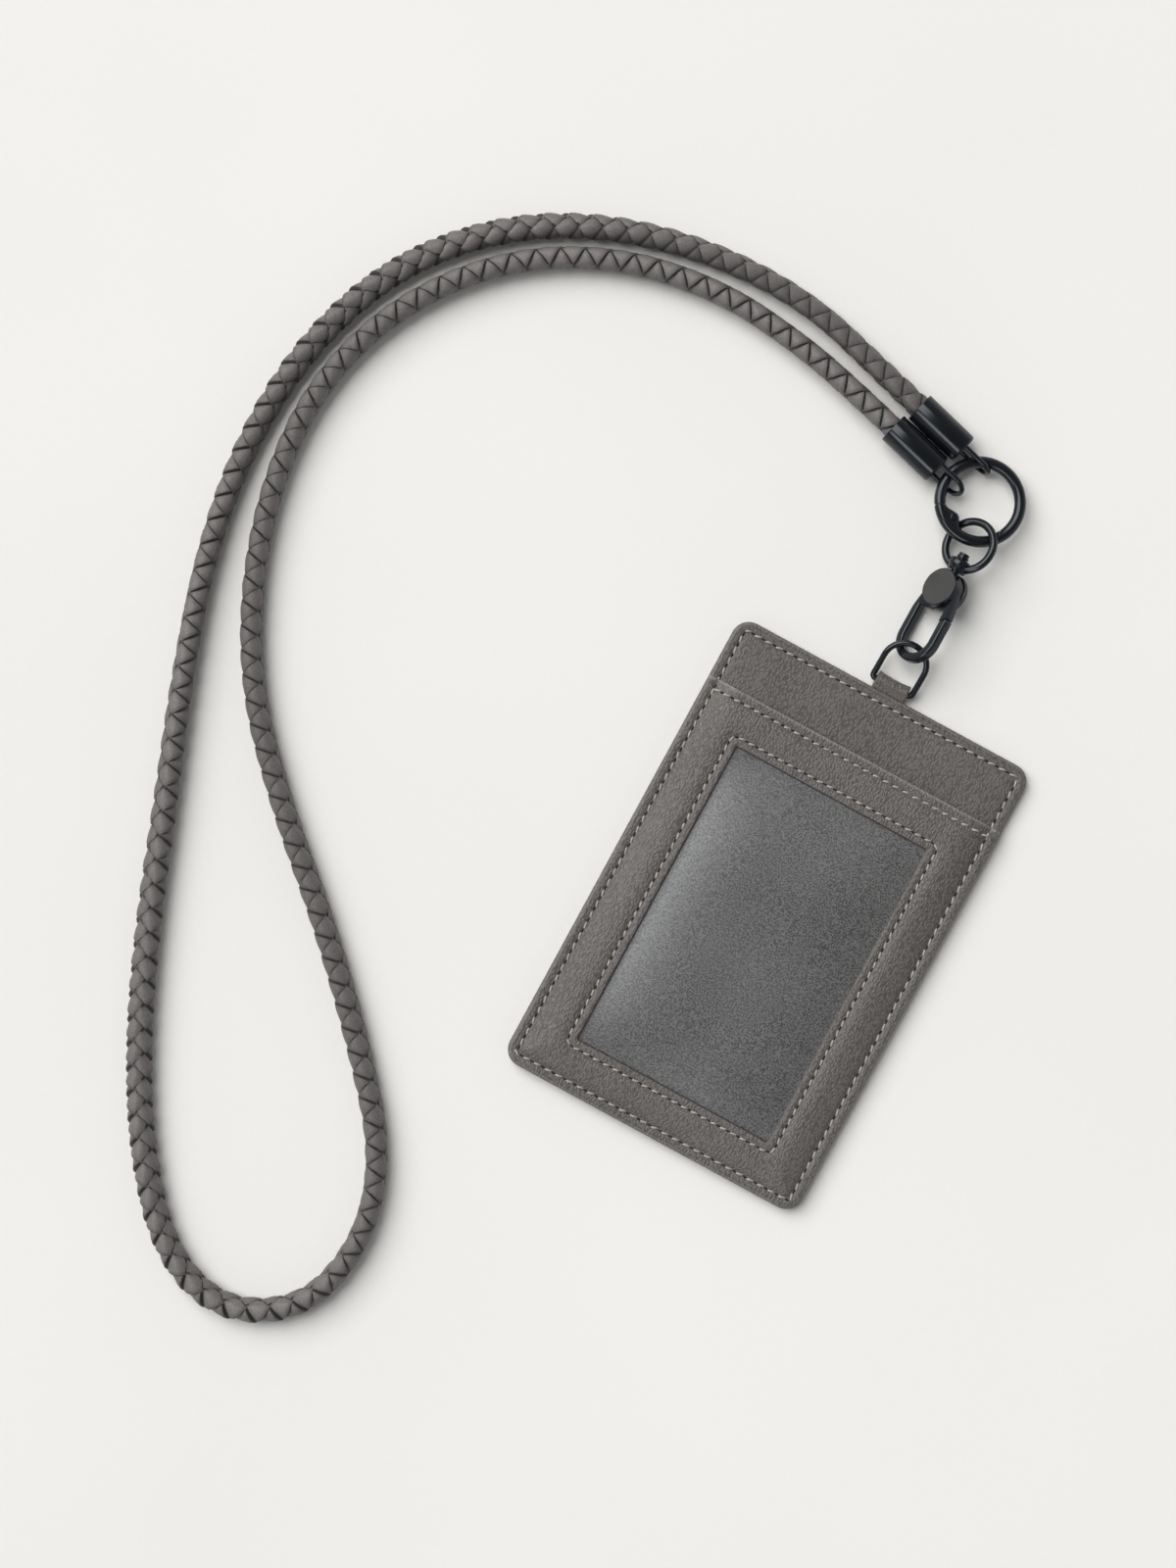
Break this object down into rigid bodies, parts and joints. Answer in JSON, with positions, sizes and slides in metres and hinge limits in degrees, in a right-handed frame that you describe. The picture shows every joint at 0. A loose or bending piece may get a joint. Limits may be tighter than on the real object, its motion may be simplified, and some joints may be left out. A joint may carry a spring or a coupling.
{
  "type": "id badge wallet",
  "caption": "Leather badge wallet with a frosted card window, hung by a D-ring, swivel snap hook and gate ring from a braided neck cord with metal end caps.",
  "frame": {"origin": "centre of the wallet's back face, which lies on the surface below it", "axes": "+X across the wallet, +Y along it towards the D-ring and hook, +Z out of the card window"},
  "size_m": [0.1918, 0.2641, 0.0102],
  "materials": {
    "wallet_leather": "pebbled warm grey leather",
    "cord_leather": "braided smooth grey leather strands",
    "board": "plain stiffener board",
    "film": "frosted clear film",
    "thread": "waxed sewing thread",
    "black_metal": "gloss black plated",
    "spring_steel": "spring wire"
  },
  "bodies": {
    "wallet": {"back_panel": "wallet_leather", "stiffener_board": "board", "front_panel": "wallet_leather", "pocket_frame": "wallet_leather", "window_film": "film", "pocket_rim_thread": "thread", "header_rim_thread": "thread", "hem_thread": "thread", "window_thread": "thread", "ring_tab": "wallet_leather"},
    "d_ring": {"d_ring": "black_metal"},
    "hook": {"hook_frame": "black_metal", "hook_front_disc": "black_metal", "hook_back_disc": "black_metal", "hook_pivot_pin": "black_metal", "hook_gate_spring": "spring_steel", "swivel_post": "black_metal"},
    "hook_gate": {"hook_gate": "black_metal"},
    "swivel_eye": {"swivel_eye": "black_metal"},
    "ring": {"ring_body": "black_metal", "ring_rivet": "black_metal", "ring_gate_spring": "spring_steel"},
    "ring_gate": {"ring_gate": "black_metal"},
    "lanyard": {"upper_cap": "black_metal", "upper_cap_eye": "black_metal", "lower_cap": "black_metal", "lower_cap_eye": "black_metal", "neck_cord": "cord_leather"}
  },
  "joints": [
    {"name": "d_ring_swing", "type": "hinge", "parent": "wallet", "child": "d_ring", "pos_m": [0, 0.0581, 0.0021], "axis": [1, 0, 0], "range_deg": [-90, 80]},
    {"name": "hook_swing", "type": "hinge", "parent": "d_ring", "child": "hook", "pos_m": [0, 0.06824, 0.0052], "axis": [1, 0, 0], "range_deg": [-15, 42]},
    {"name": "hook_gate_pivot", "type": "hinge", "parent": "hook", "child": "hook_gate", "pos_m": [0, 0.08214, 0.0052], "axis": [0.7547, 0, -0.6561], "range_deg": [0, 25], "stiffness_Nm_per_rad": 0.01, "springref_deg": -45.84},
    {"name": "swivel_turn", "type": "hinge", "parent": "hook", "child": "swivel_eye", "pos_m": [0, 0.09349, 0.0052], "axis": [0, 1, 0], "continuous": true},
    {"name": "ring_swing", "type": "hinge", "parent": "swivel_eye", "child": "ring", "pos_m": [-0.00491, 0.09476, 0.00499], "axis": [-0.9808, -0.1939, 0.0211], "range_deg": [-40, 8]},
    {"name": "ring_gate_pivot", "type": "hinge", "parent": "ring", "child": "ring_gate", "pos_m": [-0.0061, 0.09731, 0.00471], "axis": [0, 0.108, 0.9942], "range_deg": [0, 9], "stiffness_Nm_per_rad": 0.008, "springref_deg": -34.38},
    {"name": "lanyard_swing", "type": "hinge", "parent": "ring", "child": "lanyard", "pos_m": [-0.01148, 0.10276, 0.00412], "axis": [0.4384, 0.8935, -0.0971], "range_deg": [-5, 40]}
  ]
}
